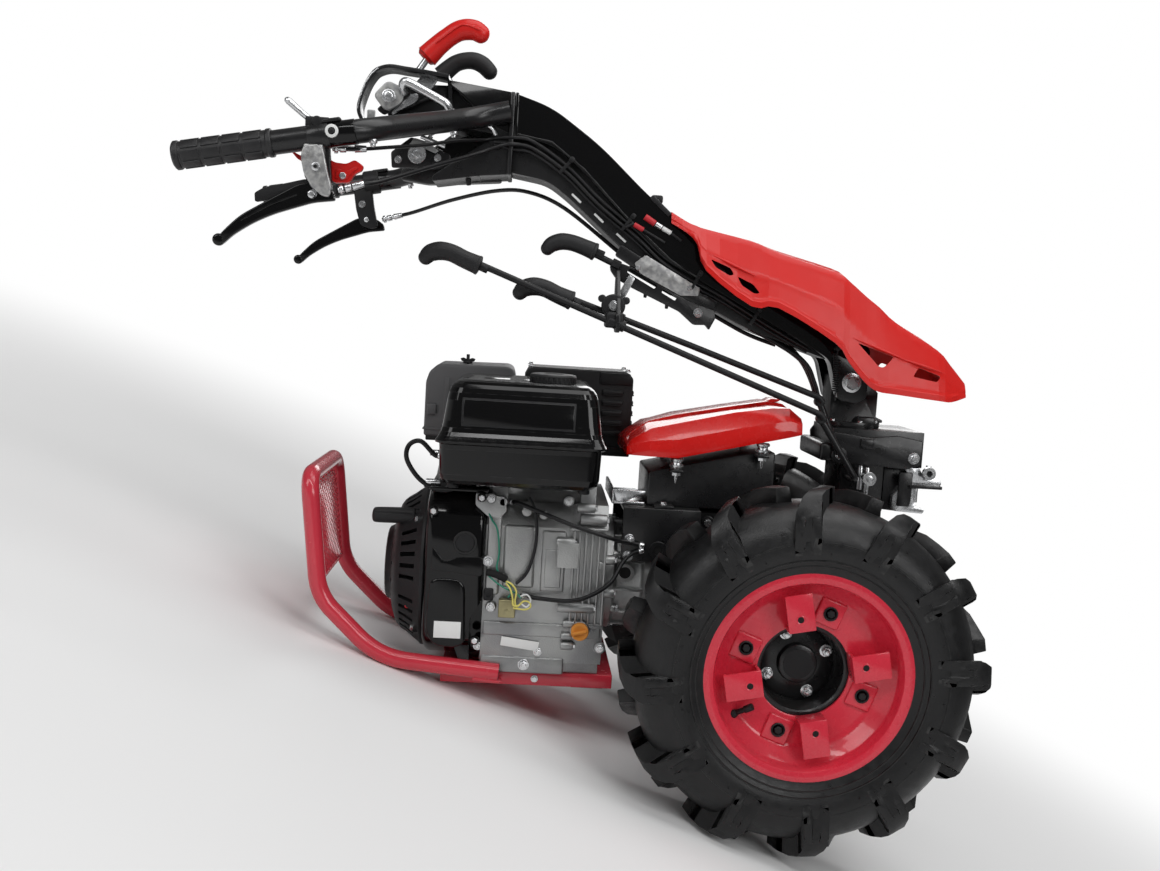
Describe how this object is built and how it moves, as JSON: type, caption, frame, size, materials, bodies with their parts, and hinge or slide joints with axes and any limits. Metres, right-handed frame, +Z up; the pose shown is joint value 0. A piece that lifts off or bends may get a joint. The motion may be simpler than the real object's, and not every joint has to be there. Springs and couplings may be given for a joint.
{
  "type": "two-wheel walking tractor",
  "caption": "Two-wheel walking tractor with front petrol engine, gearbox over the axle, tool hitch behind, and a handlebar that swings round and tilts; parked on its wheels and front guard.",
  "frame": {"origin": "centre of the bounding box on the ground, below the machine's mid-width", "axes": "+Z up from the ground; +X to the tool hitch at the back; +Y to the right-hand wheel, so the engine and guard are towards -X"},
  "size_m": [1.256, 0.61, 0.886],
  "materials": {
    "tyre_rubber": "matt black moulded rubber",
    "rim_red": "satin strawberry-red enamel",
    "red_paint": "gloss red enamel",
    "red_plastic": "gloss bright red moulding",
    "black_paint": "gloss black enamel",
    "satin_black": "satin black paint",
    "black_plastic": "satin black moulding",
    "cast_aluminium": "as cast, fine grained",
    "zinc_steel": "bright zinc plate",
    "grip_rubber": "textured matt rubber",
    "cable_sheath": "smooth black sheath"
  },
  "bodies": {
    "root": {"transmission_housing": "black_paint", "clutch_housing": "cast_aluminium", "axle_housing_left": "black_paint", "axle_housing_right": "black_paint", "saddle_bracket": "black_paint", "riser_box": "black_paint", "gearbox_cover": "red_plastic", "pto_housing": "black_paint", "hitch_latch": "zinc_steel", "column_base": "black_paint", "gear_arm": "black_paint", "pto_arm": "black_paint", "engine_block": "cast_aluminium", "cylinder_head": "cast_aluminium", "fan_shroud": "black_paint", "recoil_starter": "black_plastic", "fuel_tank": "black_paint", "fuel_cap": "black_plastic", "carburettor": "cast_aluminium", "air_cleaner": "black_plastic", "muffler": "satin_black", "guard_frame": "red_paint", "guard_mesh": "red_paint", "engine_plate": "red_paint", "governor_cable": "cable_sheath", "stop_cable": "cable_sheath", "fuel_hose": "cable_sheath"},
    "wheel_left": {"tyre_left": "tyre_rubber", "rim_left": "rim_red", "hub_left": "black_paint"},
    "wheel_right": {"tyre_right": "tyre_rubber", "rim_right": "rim_red", "hub_right": "black_paint"},
    "pto": {"pto_coupling": "zinc_steel"},
    "column": {"column_head": "black_paint"},
    "handlebar": {"beam": "black_paint", "yoke": "black_paint", "handle_tube_left": "black_paint", "handle_tube_right": "black_paint", "grip_left": "grip_rubber", "grip_right": "grip_rubber", "lever_clamp_left": "cast_aluminium", "lever_clamp_right": "satin_black", "clutch_lever": "black_paint", "brake_lever": "black_paint", "safety_trigger": "red_plastic", "throttle_lever": "zinc_steel", "control_bracket": "black_paint", "reverser_lever": "red_plastic", "lock_lever": "black_plastic", "hood": "red_plastic", "gear_rod": "black_paint", "pto_rod": "black_paint", "lever_plate": "satin_black", "rod_support": "zinc_steel", "clutch_cable": "cable_sheath", "brake_cable": "cable_sheath", "throttle_cable": "cable_sheath"}
  },
  "joints": [
    {"name": "wheel_left_spin", "type": "hinge", "parent": "root", "child": "wheel_left", "pos_m": [0.37916, -0.24, 0.2488], "axis": [0, 1, 0], "continuous": true},
    {"name": "wheel_right_spin", "type": "hinge", "parent": "root", "child": "wheel_right", "pos_m": [0.37916, 0.24, 0.2488], "axis": [0, 1, 0], "continuous": true},
    {"name": "pto_spin", "type": "hinge", "parent": "root", "child": "pto", "pos_m": [0.54718, 0, 0.38553], "axis": [0.938, 0, 0.3467], "continuous": true},
    {"name": "handlebar_swing", "type": "hinge", "parent": "root", "child": "column", "pos_m": [0.36735, 0, 0.57493], "axis": [-0.3467, 0, 0.938], "range_deg": [0, 180]},
    {"name": "handlebar_tilt", "type": "hinge", "parent": "column", "child": "handlebar", "pos_m": [0.33099, 0, 0.63292], "axis": [0, 1, 0], "range_deg": [-10, 5]}
  ]
}
